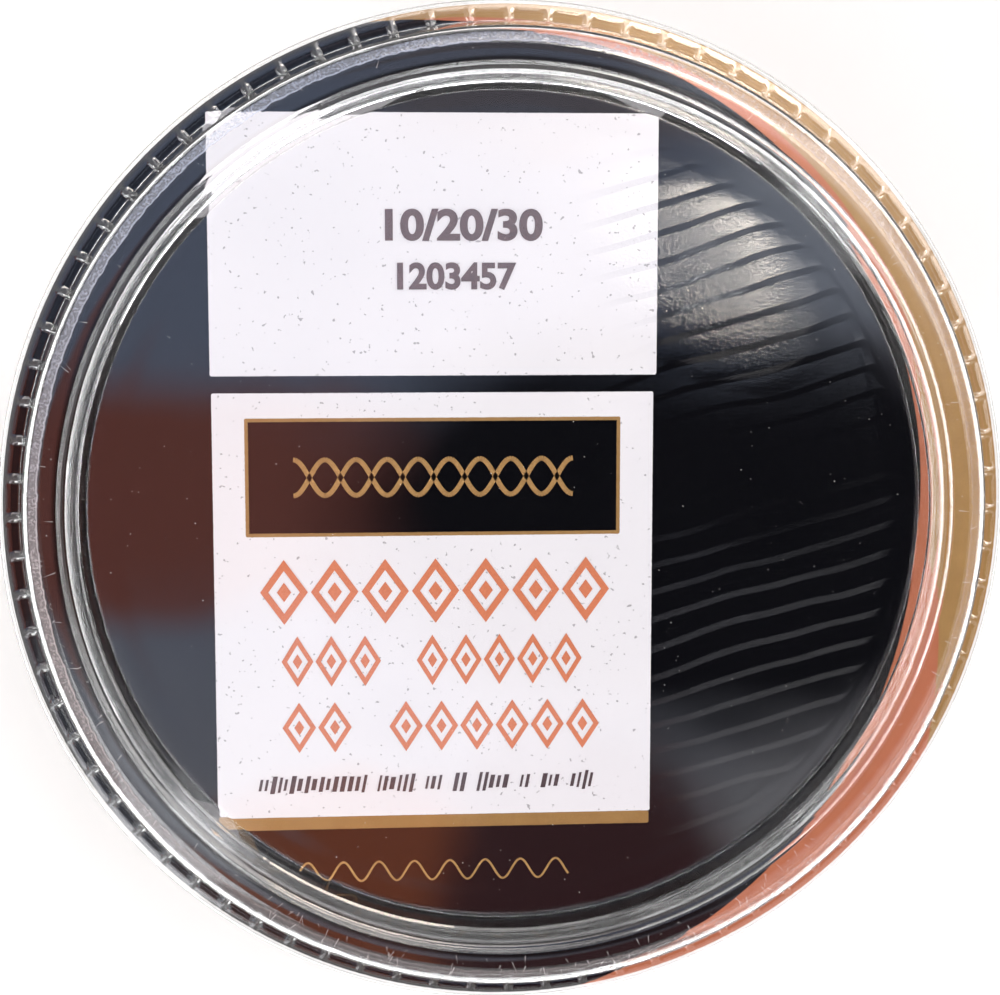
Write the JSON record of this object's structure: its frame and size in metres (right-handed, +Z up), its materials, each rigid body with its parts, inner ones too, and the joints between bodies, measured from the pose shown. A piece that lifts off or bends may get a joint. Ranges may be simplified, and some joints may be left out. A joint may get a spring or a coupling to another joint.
{
  "type": "sealed burrata pot",
  "caption": "Round sealed cheese pot: tapered white tub, printed peel film and a clear press-on lid with a raised rim and a ribbed skirt.",
  "frame": {"origin": "middle of the tub's foot, on the table", "axes": "+Z up along the pot's turning axis, +Y towards the top of the print, +X to its right"},
  "size_m": [0.101, 0.101, 0.057],
  "materials": {
    "tub_plastic": "satin white polypropylene",
    "film_print": "glossy film printed in black, white, copper and gold",
    "lid_clear": "clear thin plastic"
  },
  "bodies": {
    "root": {"tub": "tub_plastic", "seal_film": "film_print", "lid": "lid_clear"}
  },
  "joints": []
}
